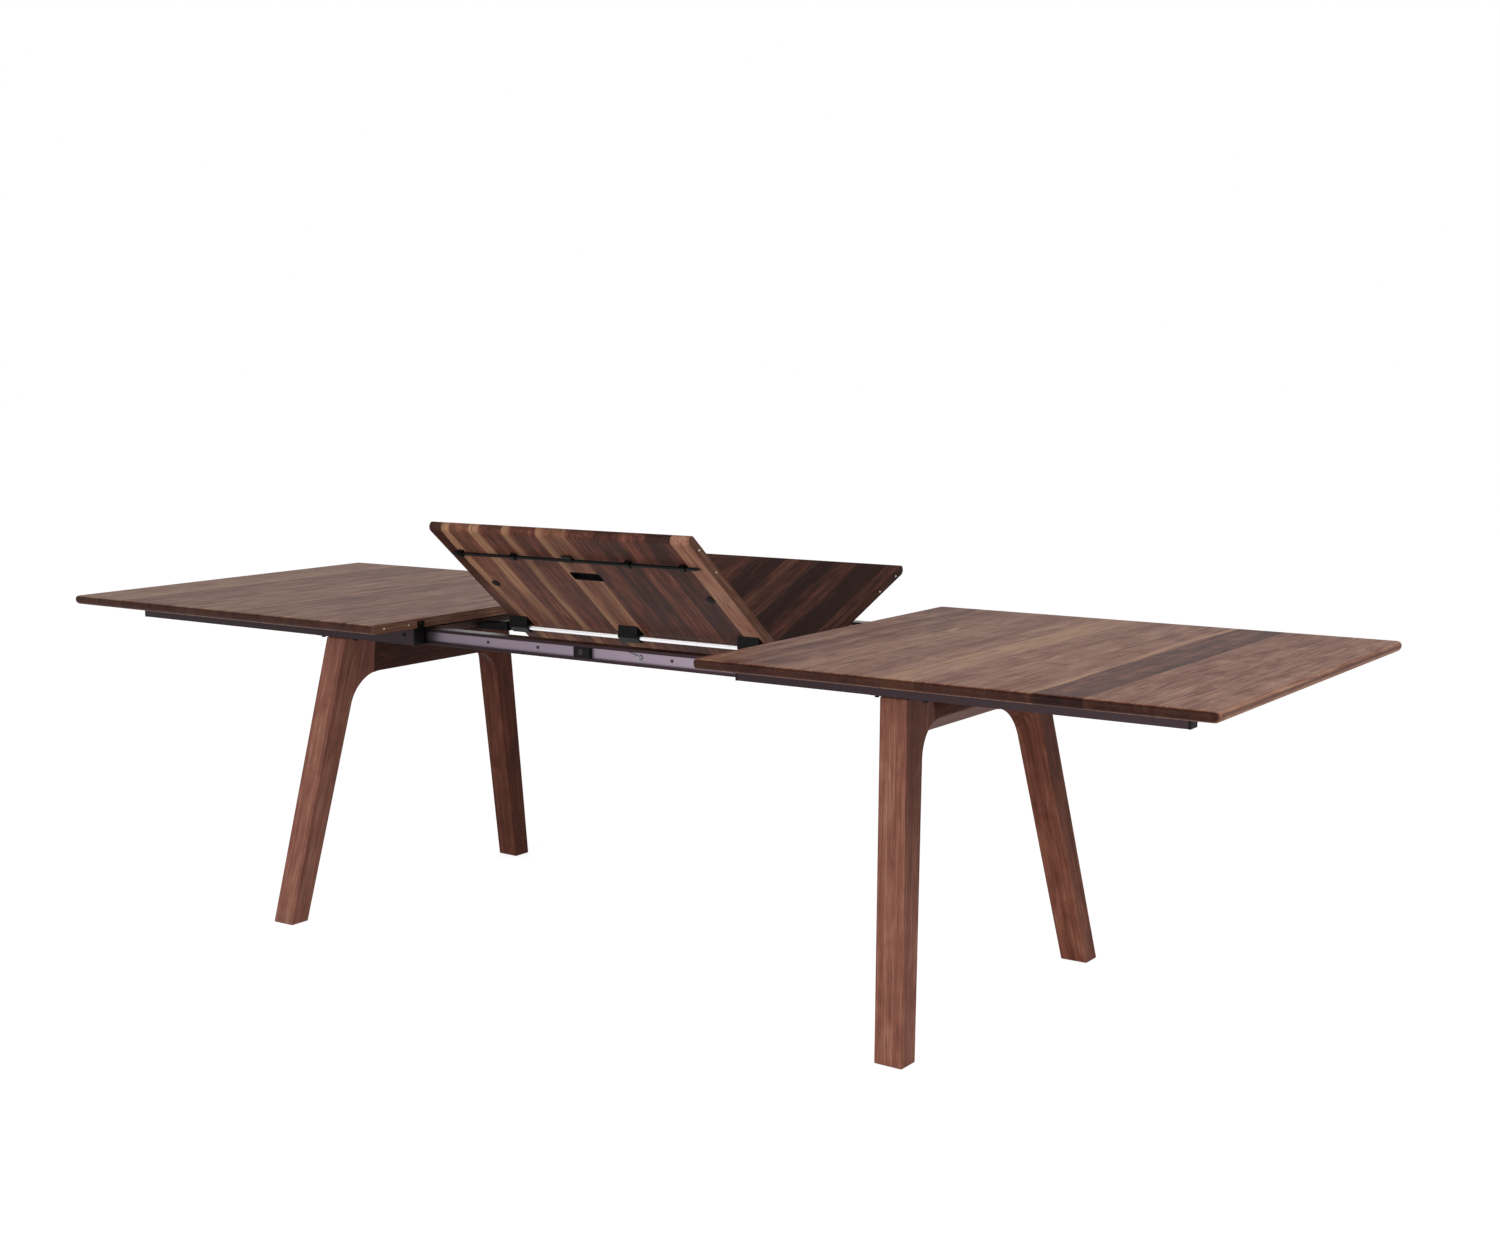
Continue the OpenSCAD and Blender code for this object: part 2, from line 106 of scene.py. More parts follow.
def make_world():
    """White to the camera. As a light it is a low band all round, brightest away from +X, under
    a dim ceiling."""
    world = bpy.data.worlds.new("studio")
    bpy.context.scene.world = world
    world.use_nodes = True
    tree = world.node_tree
    k = Nodes(tree)
    direction = k.split(k.add("ShaderNodeTexCoord").outputs["Generated"])
    band = k.remap(direction[2], *BAND_TOP, BAND_LIGHT, CEILING_LIGHT)
    band = k.math("MULTIPLY", band, k.remap(direction[0], *BAND_FADE, 1.0, BAND_RIGHT))
    seen = k.add("ShaderNodeLightPath").outputs["Is Camera Ray"]
    back = tree.nodes["Background"]
    back.inputs["Color"].default_value = (1, 1, 1, 1)
    k.put(back.inputs["Strength"], k.remap(seen, 0.0, 1.0, band, 1.0, smooth=False))


def make_floor():
    """Pale floor that glows to the camera and to mirrors, so that it reads as white paper."""
    r = FLOOR_REACH
    mesh = bpy.data.meshes.new("floor")
    mesh.from_pydata([(-r, -r, 0), (r, -r, 0), (r, r, 0), (-r, r, 0)], [], [(0, 1, 2, 3)])
    floor = bpy.data.objects.new("floor", mesh)
    bpy.context.scene.collection.objects.link(floor)
    mat, k, p = new_material("studio_floor")
    p.inputs["Base Color"].default_value = (FLOOR_ALBEDO, FLOOR_ALBEDO, FLOOR_ALBEDO, 1)
    p.inputs["Roughness"].default_value = FLOOR_ROUGH
    p.inputs["Specular IOR Level"].default_value = 0.0
    p.inputs["Emission Color"].default_value = (1, 1, 1, 1)
    path = k.add("ShaderNodeLightPath").outputs
    seen = k.math("MAXIMUM", path["Is Camera Ray"], path["Is Glossy Ray"])
    k.put(p.inputs["Emission Strength"], k.math("MULTIPLY", seen, FLOOR_GLOW))
    mesh.materials.append(mat)


def make_studio():
    bpy.context.scene.view_settings.view_transform = "Standard"
    make_world()
    make_floor()
    for lamp in LAMPS:
        area_light(*lamp)


# ---------------------------------------------------------------- shader node helpers


class Nodes:
    """Short calls that add shader nodes to one tree and return their output sockets."""

    def __init__(self, tree):
        self.tree = tree

    def add(self, kind, **settings):
        n = self.tree.nodes.new(kind)
        for k, v in settings.items():
            setattr(n, k, v)
        return n

    def put(self, socket, value):
        if isinstance(value, bpy.types.NodeSocket):
            self.tree.links.new(value, socket)
        elif value is not None:
            socket.default_value = value

    def math(self, op, a, b=None, c=None):
        n = self.add("ShaderNodeMath", operation=op)
        for i, v in enumerate((a, b, c)):
            self.put(n.inputs[i], v)
        return n.outputs[0]

    def swing(self, v, amount, base):
        """base, moved up and down by amount as v runs from 0 to 1."""
        return self.math("MULTIPLY_ADD", self.math("SUBTRACT", v, 0.5), amount, base)

    def xyz(self, x, y, z):
        n = self.add("ShaderNodeCombineXYZ")
        for i, v in enumerate((x, y, z)):
            self.put(n.inputs[i], v)
        return n.outputs[0]

    def split(self, v):
        n = self.add("ShaderNodeSeparateXYZ")
        self.put(n.inputs[0], v)
        return n.outputs[0], n.outputs[1], n.outputs[2]

    def vector_math(self, op, v, w):
        n = self.add("ShaderNodeVectorMath", operation=op)
        self.put(n.inputs[0], v)
        self.put(n.inputs[1], w)
        return n.outputs[0]

    def scaled(self, v, scale):
        return self.vector_math("MULTIPLY", v, scale)

    def plus(self, v, w):
        return self.vector_math("ADD", v, w)

    def noise(self, v, scale=1.0, detail=2.0, rough=0.5, warp=0.0, dims="3D"):
        n = self.add("ShaderNodeTexNoise", noise_dimensions=dims)
        self.put(n.inputs["W" if dims == "1D" else "Vector"], v)
        self.put(n.inputs["Scale"], scale)
        self.put(n.inputs["Detail"], detail)
        self.put(n.inputs["Roughness"], rough)
        self.put(n.inputs["Distortion"], warp)
        return n.outputs["Fac"]

    def remap(self, v, a, b, c=0.0, d=1.0, smooth=True):
        """v from a to b becomes c to d, and stays at c or d beyond."""
        kind = "SMOOTHSTEP" if smooth else "LINEAR"
        n = self.add("ShaderNodeMapRange", interpolation_type=kind)
        for i, x in enumerate((v, a, b, c, d)):
            self.put(n.inputs[i], x)
        return n.outputs[0]

    def ramp(self, v, stops, mode="LINEAR"):
        """Colour and alpha at v; stops are (place, four channels or one grey)."""
        n = self.add("ShaderNodeValToRGB")
        n.color_ramp.interpolation = mode
        e = n.color_ramp.elements
        while len(e) < len(stops):
            e.new(0.5)
        for i, stop in enumerate(stops):
            e[i].position = stop[0]
        for i, stop in enumerate(stops):
            e[i].color = stop[1] if isinstance(stop[1], tuple) else (stop[1],) * 3 + (1,)
        self.put(n.inputs[0], v)
        return n.outputs["Color"], n.outputs["Alpha"]

    def mix(self, f, a, b, blend="MIX"):
        n = self.add("ShaderNodeMix", data_type="RGBA", blend_type=blend)
        self.put(n.inputs["Factor"], f)
        self.put(n.inputs[6], a)
        self.put(n.inputs[7], b)
        return n.outputs[2]

    def coords(self):
        return self.add("ShaderNodeTexCoord").outputs["Object"]

    def turned(self, v, at, degrees):
        """v turned about the point at, by Euler angles."""
        n = self.add("ShaderNodeVectorRotate", rotation_type="EULER_XYZ")
        self.put(n.inputs["Vector"], v)
        n.inputs["Center"].default_value = at
        n.inputs["Rotation"].default_value = [math.radians(a) for a in degrees]
        return n.outputs[0]

    def bump(self, height, strength, distance):
        n = self.add("ShaderNodeBump")
        n.inputs["Strength"].default_value = strength
        n.inputs["Distance"].default_value = distance
        self.put(n.inputs["Height"], height)
        return n.outputs[0]


def srgb(r, g, b):
    """8-bit display colour as linear RGBA."""
    return tuple(((c / 255 + 0.055) / 1.055) ** 2.4 if c > 10 else c / 255 / 12.92
                 for c in (r, g, b)) + (1.0,)


def new_material(name):
    """A new material, the helper for its tree and its Principled shader."""
    mat = bpy.data.materials.new(name)
    mat.use_nodes = True
    k = Nodes(mat.node_tree)
    return mat, k, mat.node_tree.nodes["Principled BSDF"]


# ---------------------------------------------------------------- walnut

# growth rings, in metres: the width of one, how far the pith may lie to either side, its least
# depth under the board and how far the depth varies
RING = 0.0042
PITH_ASIDE, PITH_DEEP, PITH_DEEPER = 0.075, 0.014, 0.045
# how much the rings lean along the grain, wander slowly and wobble quickly
RING_LEAN, RING_WANDER, RING_WOBBLE = 0.022, 0.05, 0.0035
# how far in metres a seed of 1 moves the figure
SEED_SHIFT = (3.1, 17.0, 5.3)
# darkness across one ring, from its early wood to its late wood
RING_STOPS = ((0.0, 0.15), (0.5, 0.3), (0.86, 1.0), (0.97, 0.75), (1.0, 0.15))
LATE_DARK = -0.13
# contrast of each sort of figure about the tone of the plank
FIGURE = {"bands": 0.36, "fibre": 0.85, "streak": 0.42, "cloud": 0.6, "curl": 0.14}
# heartwood and sapwood from dark to pale, the pores, the end grain's tint and the glue line
HEART_STOPS = (
    (0.0, srgb(56, 32, 26)), (0.25, srgb(102, 59, 47)), (0.42, srgb(137, 84, 68)),
    (0.62, srgb(170, 123, 101)), (0.8, srgb(190, 146, 120)), (1.0, srgb(214, 172, 140)))
SAP_STOPS = ((0.0, srgb(164, 112, 82)), (1.0, srgb(224, 178, 138)))
PORE_COLOUR, PORE_SHARE = srgb(46, 28, 23), 0.42
END_TINT = srgb(104, 84, 80)
GLUE_COLOUR, GLUE_SHARE = srgb(38, 25, 21), 0.55
WOOD_ROUGH, WOOD_IOR, WOOD_RELIEF = 0.5, 1.46, 0.0004
BOARD_BUMP, STICK_BUMP = 0.25, 0.3
# a board: height of its middle, the share of y in the normal from which a face counts as end
# grain, how far sapwood strays, and the half widths of a glue line
BOARD_MIDDLE = 0.7395
END_FACING = (0.35, 0.75)
SAP_STRAY, GLUE_CORE, GLUE_EDGE = 0.05, 0.00012, 0.0005
# a leg or an apron: its place in the trunk, how crooked its rings run, and its contrast
STICK_ASIDE, STICK_ABOVE, STICK_WAVE, STICK_FIGURE = 0.11, 0.05, 0.08, 0.62

WOOD_INPUTS = {"Vector": "Vector", "Seed": "Vector", "Tone": "Float", "Sap": "Float",
               "Wave": "Float", "End": "Float", "Figure": "Float"}
WOOD_OUTPUTS = {"Color": "Color", "Roughness": "Float", "Height": "Float"}


def walnut_group():
    """Solid walnut. Vector: x across the board, y along the grain, z through it, in metres from
    the plank's own middle. Seed: three random numbers of the plank. Tone: dark 0 to pale 1. Sap:
    share of sapwood. Wave: how crooked the rings run. End: 1 on end grain. Figure: contrast."""
    tree = bpy.data.node_groups.new("walnut", "ShaderNodeTree")
    for way, sockets in (("INPUT", WOOD_INPUTS), ("OUTPUT", WOOD_OUTPUTS)):
        for name, kind in sockets.items():
            tree.interface.new_socket(name, in_out=way, socket_type="NodeSocket" + kind)
    k = Nodes(tree)
    given = k.add("NodeGroupInput")
    vec, seed, tone, sap, wave, end, figure = (given.outputs[n] for n in WOOD_INPUTS)
    x, y, z = k.split(vec)
    r1, r2, r3 = k.split(seed)
    shifted = k.plus(vec, k.scaled(seed, SEED_SHIFT))
    slow = k.noise(k.scaled(shifted, (7, 1.2, 7)), detail=2, rough=0.45)
    fast = k.noise(k.scaled(shifted, (46, 5.5, 46)), detail=2, rough=0.5)
    # growth rings around a pith that lies under the board
    dx = k.math("SUBTRACT", x, k.math("MULTIPLY", k.math("SUBTRACT", r1, 0.5), PITH_ASIDE))
    dz = k.math("ADD", z, k.math("MULTIPLY_ADD", r2, PITH_DEEPER, PITH_DEEP))
    away = k.math("SQRT", k.math("ADD", k.math("MULTIPLY", dx, dx), k.math("MULTIPLY", dz, dz)))
    lean = k.math("MULTIPLY", k.math("MULTIPLY", k.math("SUBTRACT", r3, 0.5), RING_LEAN), wave)
    away = k.math("MULTIPLY_ADD", y, lean, away)
    away = k.swing(slow, k.math("MULTIPLY", wave, RING_WANDER), away)
    away = k.swing(fast, RING_WOBBLE, away)
    rings = k.math("DIVIDE", away, RING)
    # rings are wide in some years and narrow in others
    years = k.noise(k.math("MULTIPLY", rings, 0.23), dims="1D", detail=1)
    rings = k.math("MULTIPLY_ADD", years, 2.2, rings)
    late = k.ramp(k.math("FRACT", rings), RING_STOPS)[0]
    # marks in the wood: broad bands that follow the rings, then everything along the grain
    band_at = k.math("ADD", k.math("MULTIPLY", rings, 0.19), k.math("MULTIPLY", r2, 40))
    marks = {
        "bands": k.noise(band_at, dims="1D", detail=2, rough=0.6),
        "fibre": k.noise(k.scaled(shifted, (300, 9, 300)), detail=3, rough=0.65),
        "streak": k.noise(k.scaled(shifted, (120, 3.4, 120)), detail=3, rough=0.62),
        "cloud": k.noise(k.scaled(shifted, (26, 9, 26)), detail=3, rough=0.55, warp=0.6),
        "curl": k.noise(k.scaled(shifted, (9, 34, 9)), detail=1),
    }
    fibre = marks["fibre"]
    pores = k.remap(k.noise(k.scaled(shifted, (1150, 26, 1150)), detail=1), 0.6, 0.72)
    t = k.math("MULTIPLY", late, LATE_DARK)
    for kind, amount in FIGURE.items():
        t = k.swing(marks[kind], amount, t)
    t = k.math("MULTIPLY_ADD", t, figure, tone)
    heart = k.ramp(t, HEART_STOPS)[0]
    pale = k.ramp(k.math("MULTIPLY_ADD", k.math("SUBTRACT", fibre, late), 0.4, 0.5), SAP_STOPS)[0]
    colour = k.mix(sap, heart, pale)
    colour = k.mix(k.math("MULTIPLY", pores, PORE_SHARE), colour, PORE_COLOUR)
    colour = k.mix(end, colour, k.mix(1.0, colour, END_TINT, "MULTIPLY"))
    rough = k.math("MULTIPLY_ADD", fibre, 0.12, WOOD_ROUGH)
    rough = k.math("MULTIPLY_ADD", pores, 0.15, rough)
    height = k.math("MULTIPLY_ADD", pores, -0.7, k.math("MULTIPLY", fibre, 0.5))
    height = k.math("MULTIPLY_ADD", late, 0.12, height)
    out = k.add("NodeGroupOutput")
    for name, s in (("Color", colour), ("Roughness", rough), ("Height", height)):
        tree.links.new(s, out.inputs[name])
    return tree


def wood_finish(k, p, gloss, bump, joint=None, **wood):
    """Wires a walnut group to a Principled shader. wood: values of the group's inputs by name.
    joint is 1 at a glue line."""
    g = k.add("ShaderNodeGroup", node_tree=walnut)
    for name in WOOD_INPUTS:
        k.put(g.inputs[name], wood[name.lower()])
    colour, height = g.outputs["Color"], g.outputs["Height"]
    if joint is not None:
        colour = k.mix(k.math("MULTIPLY", joint, GLUE_SHARE), colour, GLUE_COLOUR)
        height = k.math("MULTIPLY_ADD", joint, -1.0, height)
    k.put(p.inputs["Base Color"], colour)
    k.put(p.inputs["Roughness"], g.outputs["Roughness"])
    k.put(p.inputs["Normal"], k.bump(height, bump, WOOD_RELIEF))
    p.inputs["IOR"].default_value = WOOD_IOR
    p.inputs["Specular IOR Level"].default_value = gloss


def board_material(name, x0, planks, sap, seed, hinge=None, tilt=0.0, gloss=0.15, sap_low=0.4,
                   figure=0.95, end_dark=1.0):
    """A board glued up from planks that run along y. planks: (width in mm, tone) from x0 on.
    sap: (millimetres from x0, amount) of the pale streaks, which thin out to sap_low of that.
    A tilted board is turned level about hinge, by tilt degrees about x, before the grain is
    drawn. end_dark: share of the dark tint that the end grain gets."""
    mat, k, p = new_material(name)
    length = sum(w for w, tone in planks)
    source = k.add("ShaderNodeTexCoord")
    v, facing = source.outputs["Object"], source.outputs["Normal"]
    if hinge:
        v = k.turned(v, hinge, (tilt, 0, 0))
        facing = k.turned(facing, (0, 0, 0), (tilt, 0, 0))
    end = k.remap(k.math("ABSOLUTE", k.split(facing)[1]), *END_FACING)
    x, y, z = k.split(v)
    along = k.math("DIVIDE", k.math("SUBTRACT", x, x0 * MM), length * MM)
    stops, at = [], 0.0
    for w, tone in planks:
        stops.append((at / length, (tone, 0.0, at / length, w / length)))
        at += w
    # one ramp tells the tone (red), the start (blue) and the width (alpha) of the plank here
    code, width = k.ramp(along, stops, "CONSTANT")
    tone, start = k.split(code)[::2]
    local = k.math("DIVIDE", k.math("SUBTRACT", along, start), width)
    white = k.add("ShaderNodeTexWhiteNoise", noise_dimensions="1D")
    k.put(white.inputs["W"], k.math("MULTIPLY_ADD", start, 91.7, seed))
    plank_middle = k.math("MULTIPLY_ADD", width, 0.5, start)
    centred = k.math("MULTIPLY", k.math("SUBTRACT", along, plank_middle), length * MM)
    vector = k.xyz(centred, y, k.math("SUBTRACT", z, BOARD_MIDDLE))
    wander = k.noise(k.scaled(v, (4, 1.6, 4)), detail=2)
    strayed = k.swing(wander, SAP_STRAY / (length * MM), along)
    pale = k.ramp(strayed, [(a / length, s) for a, s in sap])[0]
    # sapwood comes and goes along a plank
    run = k.noise(k.xyz(k.math("MULTIPLY", x, 14.0), k.math("MULTIPLY", y, 4.2), seed), detail=1)
    pale = k.math("MULTIPLY", pale, k.remap(run, 0.36, 0.56, sap_low, 1.0))
    edge = k.math("MULTIPLY", k.math("MINIMUM", local, k.math("SUBTRACT", 1.0, local)), width)
    joint = k.remap(edge, GLUE_CORE / (length * MM), GLUE_EDGE / (length * MM), 1.0, 0.0)
    wood_finish(k, p, gloss, BOARD_BUMP, joint, vector=vector, seed=white.outputs["Color"],
                tone=tone, sap=pale, wave=1.0, end=k.math("MULTIPLY", end, end_dark),
                figure=figure)
    return mat


def stick_material(name, turn, at, tone, seed, gloss=0.1):
    """One solid timber whose grain runs along y once it is turned by the Euler angles turn."""
    mat, k, p = new_material(name)
    v = k.turned(k.coords(), at, turn)
    # far from the pith the rings run almost straight along the timber
    vector = k.plus(v, (STICK_ASIDE - at[0], -at[1], STICK_ABOVE - at[2]))
    wood_finish(k, p, gloss, STICK_BUMP, vector=vector, seed=seed, tone=tone, sap=0.0,
                wave=STICK_WAVE, end=0.0, figure=STICK_FIGURE)
    return mat


# ---------------------------------------------------------------- metal, plastic and rubber

# depth of brush lines and of a moulded pebble, and how strongly each shows
FINE_RELIEF = 0.0002
LINE_BUMP, PEBBLE_BUMP = 0.05, 0.12
PEBBLE_GRAIN, RUBBER_GRAIN = 1400, 900
# how far the roughness of metal and of moulded parts varies
LINE_ROUGH, PEBBLE_ROUGH, RUB_ROUGH = 0.14, 0.1, -0.1
# the beam's web: the heights between which its lower and its upper edge lie, and the colours; the
# dark lip colour also runs a little below the top lip as painted shadow under it
WEB_LOW, WEB_HIGH = (0.6960, 0.6968), (0.7186, 0.7194)
WEB_COLOUR, LIP_AND_SHADOW_COLOUR = srgb(146, 132, 145), srgb(56, 43, 46)
# painted shade: the beam darkens towards the left, where the leaf and the top shade it; it
# brightens between these two x, from this share of its colour on the left
BEAM_SHADE_SPAN, BEAM_PAINTED_SHADE = (-0.5, 0.35), 0.66


def metal_finish(k, p, colour, shade, lines, metallic, rough, bump=LINE_BUMP):
    """Colour times shade, with drawn lines in the roughness and the relief."""
    k.put(p.inputs["Base Color"], k.mix(1.0, colour, k.xyz(shade, shade, shade), "MULTIPLY"))
    low = rough - LINE_ROUGH / 2
    k.put(p.inputs["Roughness"], k.math("MULTIPLY_ADD", lines, LINE_ROUGH, low))
    k.put(p.inputs["Normal"], k.bump(lines, bump, FINE_RELIEF))
    p.inputs["Metallic"].default_value = metallic


def brushed(name, colour, metallic, rough, stretch=(8, 900, 900), streak=0.08, bump=LINE_BUMP):
    """Drawn or brushed metal, with fine lines along the axis whose stretch is the smallest."""
    mat, k, p = new_material(name)
    v = k.coords()
    lines = k.noise(k.scaled(v, stretch), detail=3, rough=0.6)
    cloud = k.noise(v, scale=9, detail=3)
    shade = k.swing(cloud, streak, k.swing(lines, streak * 2, 1.0))
    metal_finish(k, p, colour, shade, lines, metallic, rough, bump)
    return mat


def beam_material(name):
    """Anodised beam: a pale purple-grey web between dark bronze lips, with painted shade that
    darkens it to the left and a band of painted shadow under the top lip.
    """
    mat, k, p = new_material(name)
    v = k.coords()
    x, y, z = k.split(v)
    web = k.math("MULTIPLY", k.remap(z, *WEB_LOW), k.remap(z, *WEB_HIGH, 1.0, 0.0))
    lines = k.noise(k.scaled(v, (7, 900, 900)), detail=3, rough=0.6)
    cloud = k.noise(k.scaled(v, (2.5, 9, 9)), detail=2)
    shade = k.swing(cloud, 0.3, k.swing(lines, 0.16, 1.0))
    # painted shade: darker towards the left, under the leaf and the top
    shade = k.math("MULTIPLY", shade, k.remap(x, *BEAM_SHADE_SPAN, BEAM_PAINTED_SHADE, 1.0))
    # the dark lip colour is partly the lips' bronze and partly painted shadow under the top lip
    metal_finish(k, p, k.mix(web, LIP_AND_SHADOW_COLOUR, WEB_COLOUR), shade, lines, 1.0, 0.37)
    return mat


def moulded(name, colour, rough, spec, grain=PEBBLE_GRAIN):
    """Moulded plastic, powder coat or rubber with a fine pebble and slight scuffs."""
    mat, k, p = new_material(name)
    v = k.coords()
    pebble = k.noise(v, scale=grain, detail=2, rough=0.6)
    rub = k.remap(k.noise(v, scale=60, detail=4, rough=0.65), 0.55, 0.8)
    paler = tuple(min(1.0, c * 1.8 + 0.01) for c in colour[:3]) + (1,)
    k.put(p.inputs["Base Color"], k.mix(k.math("MULTIPLY", rub, 0.5), colour, paler))
    dull = k.math("MULTIPLY_ADD", pebble, PEBBLE_ROUGH, rough - PEBBLE_ROUGH / 2)
    k.put(p.inputs["Roughness"], k.math("MULTIPLY_ADD", rub, RUB_ROUGH, dull))
    k.put(p.inputs["Normal"], k.bump(pebble, PEBBLE_BUMP, FINE_RELIEF))
    p.inputs["Specular IOR Level"].default_value = spec
    return mat


# ---------------------------------------------------------------- pieces

# edges sharper than this are eased, points closer than this are one, and faces flatter than
# this are merged
SHARP, CLOSE, FLAT = math.radians(32), 0.00001, math.radians(0.4)
NORMAL_WEIGHT = 90
# radii of the eased edges, and how many steps round each
LEG_EASE, BOARD_EASE = (0.007, 5), (0.0008, 2)
PROFILE_EASE, FITTING_EASE = (0.0006, 2), (0.0007, 2)
# a leg is glued to its apron at this distance from the middle, and the joint stays sharp
SEAM_Y, SEAM_CLOSE = 0.185, 0.0002


def paint(names, mat):
    for n in names:
        o = nodes[n]
        o.data.materials.clear()
        o.data.materials.append(mat)


def bevelled(o, ease, limit):
    """Adds a bevel of ease (radius, steps), with weighted normals after it."""
    bevel = o.modifiers.new("ease", "BEVEL")
    bevel.width, bevel.segments = ease
    bevel.limit_method = limit
    bevel.use_clamp_overlap = True
    smooth = o.modifiers.new("normals", "WEIGHTED_NORMAL")
    smooth.keep_sharp = False
    smooth.weight = NORMAL_WEIGHT
    return bevel


def soften(names, ease):
    """Eases the sharp edges of CAD nodes with modifiers; their own vertices stay as they are."""
    for n in names:
        o = nodes[n]
        weld = o.modifiers.new("weld", "WELD")
        weld.merge_threshold = CLOSE
        flat = o.modifiers.new("flat", "DECIMATE")
        flat.decimate_type = "DISSOLVE"
        flat.angle_limit = FLAT
        bevel = bevelled(o, ease, "ANGLE")
        bevel.angle_limit = SHARP
        bevel.miter_outer = "MITER_ARC"


def timber(node, ease, mat, glued=False):
    """A copy of a CAD timber with eased arrises, which stands for it. Where it is glued, the
    edges of its seam stay sharp."""
    mesh = nodes[node].data.copy()
    mesh.name = "wood_" + node
    bm = bmesh.new()
    bm.from_mesh(mesh)
    bmesh.ops.remove_doubles(bm, verts=bm.verts, dist=CLOSE)
    bmesh.ops.dissolve_limit(bm, angle_limit=FLAT, verts=bm.verts, edges=bm.edges)
    floats = bm.edges.layers.float
    weights = floats.get("bevel_weight_edge") or floats.new("bevel_weight_edge")
    for e in bm.edges:
        seam = glued and all(abs(abs(v.co.y) - SEAM_Y) < SEAM_CLOSE for v in e.verts)
        e[weights] = float(e.calc_face_angle(0.0) > SHARP and not seam)
        e.smooth = True
    for f in bm.faces:
        f.smooth = True
    bm.to_mesh(mesh)
    bm.free()
    mesh.materials.clear()
    mesh.materials.append(mat)
    o = bpy.data.objects.new("wood_" + node, mesh)
    bpy.context.scene.collection.objects.link(o)
    bevelled(o, ease, "WEIGHT")
    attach(o, body_of_node[node])
    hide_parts(node)


make_camera()
make_studio()

walnut = walnut_group()

# the leaf's panels are turned level about these two points, by these angles
PIVOT, FOLD = (0, -0.120, 0.716), (0, -0.0071288, 0.6629330)
FRONT_TILT, BACK_TILT = 41.0, -22.55

board_woods = {}
board_woods["left_top"] = board_material(
    "walnut_left_top", -1495,
    [(100, 0.70), (90, 0.73), (112, 0.60), (128, 0.62), (46, 0.71), (120, 0.65), (94, 0.53),
     (110, 0.62), (84, 0.66), (86, 0.61), (85, 0.66)],
    [(0, 0), (148, 0), (170, 0.5), (187, 0.6), (189, 0), (428, 0), (431, 0.6), (440, 0.2), (460, 0),
     (1055, 0)],
    seed=3.0)
board_woods["right_top"] = board_material(
    "walnut_right_top", 440,
    [(92, 0.53), (92, 0.55), (85, 0.66), (75, 0.61), (70, 0.63), (75, 0.74), (70, 0.62), (72, 0.64),
     (86, 0.62), (98, 0.33), (128, 0.57), (57, 0.58), (55, 0.65)],
    [(0, 0), (265, 0), (269, 0.75), (274, 0), (414, 0), (418, 0.75), (455, 0.6), (486, 0.4),
     (490, 0.9), (496, 0), (627, 0), (631, 0.75), (636, 0), (702, 0), (705, 1.0), (715, 1.0),
     (716, 0), (1055, 0)],
    seed=11.0)
# the leaf panels get darker plank tones than the tops, partly their own wood and partly painted
# shade: the front panel shows its underside, turned from the light, and the back panel lies in the
# front one's shade, darkest and least glossy
board_woods["front_leaf_panel"] = board_material(
    "walnut_front_leaf", -355,
    [(41, 0.16), (84, 0.35), (70, 0.28), (90, 0.25), (20, 0.2), (80, 0.36), (78, 0.26), (62, 0.1),
     (72, 0.26), (64, 0.08), (49, 0.62)],
    [(0, 0), (40, 0), (41, 0.85), (58, 0.7), (64, 0.1), (118, 0.1), (125, 0.75), (145, 0.65),
     (154, 0), (203, 0), (210, 0.65), (224, 0.5), (232, 0), (304, 0), (306, 0.6), (318, 0.4),
     (330, 0.1), (372, 0.2), (378, 0.6), (384, 0.6), (386, 0), (710, 0)],
    # the front panel's end grain keeps almost none of the dark tint: a painted highlight along its
    # outer edge
    seed=23.0, hinge=PIVOT, tilt=FRONT_TILT, gloss=0.14, sap_low=0.45, figure=1.0, end_dark=0.05)
board_woods["back_leaf_panel"] = board_material(
    "walnut_back_leaf", -355,
    [(65, 0.20), (70, 0.27), (62, 0.14), (40, 0.21), (76, 0.23), (76, 0.04), (88, 0.23), (60, 0.04),
     (64, 0.21), (72, 0.0), (37, 0.21)],
    [(0, 0), (400, 0), (415, 0.2), (425, 0), (475, 0), (481, 0.25), (487, 0), (710, 0)],
    seed=37.0, hinge=FOLD, tilt=BACK_TILT, gloss=0.08, figure=0.8)

# the grain of a leg follows its middle line, from the foot to the head
FOOT_AT, HEAD_AT = Vector((0.838, 0.391, 0.0)), Vector((0.767, 0.249, 0.676))
trestle_woods = {}
# the legs' tones differ partly at random and partly as painted shade: the back legs, the left one
# most, are darker and less glossy for the table's shade on them
for n, (side, front, tone, seed, gloss) in {
    "left_front_leg": (-1, -1, 0.46, (0.2, 0.6, 0.5), 0.25),
    "left_back_leg": (-1, 1, 0.27, (0.7, 0.3, 0.52), 0.08),
    "right_front_leg": (1, -1, 0.48, (0.4, 0.8, 0.48), 0.18),
    "right_back_leg": (1, 1, 0.41, (0.9, 0.5, 0.5), 0.08),
}.items():
    sign = Vector((side, front, 1))
    foot, head = FOOT_AT * sign, HEAD_AT * sign
    turn = (head - foot).rotation_difference(Vector((0, 1, 0))).to_euler("XYZ")
    trestle_woods[n] = stick_material("walnut_" + n, [math.degrees(a) for a in turn],
                                      tuple((foot + head) / 2), tone, seed, gloss)
# the grain of an apron runs along y as it is. The left apron's tone is far darker than the right
# one's: painted shade under the table
for n, x, tone, seed in (("left_apron", -0.75, 0.1, (0.62, 0.42, 0.5)),
                         ("right_apron", 0.75, 0.36, (0.35, 0.15, 0.5))):
    trestle_woods[n] = stick_material("walnut_" + n, (0, 0, 0), (x, 0, 0.63), tone, seed)

for n, mat in trestle_woods.items():
    timber(n, LEG_EASE, mat, glued=True)
for n, mat in board_woods.items():
    timber(n, BOARD_EASE, mat)

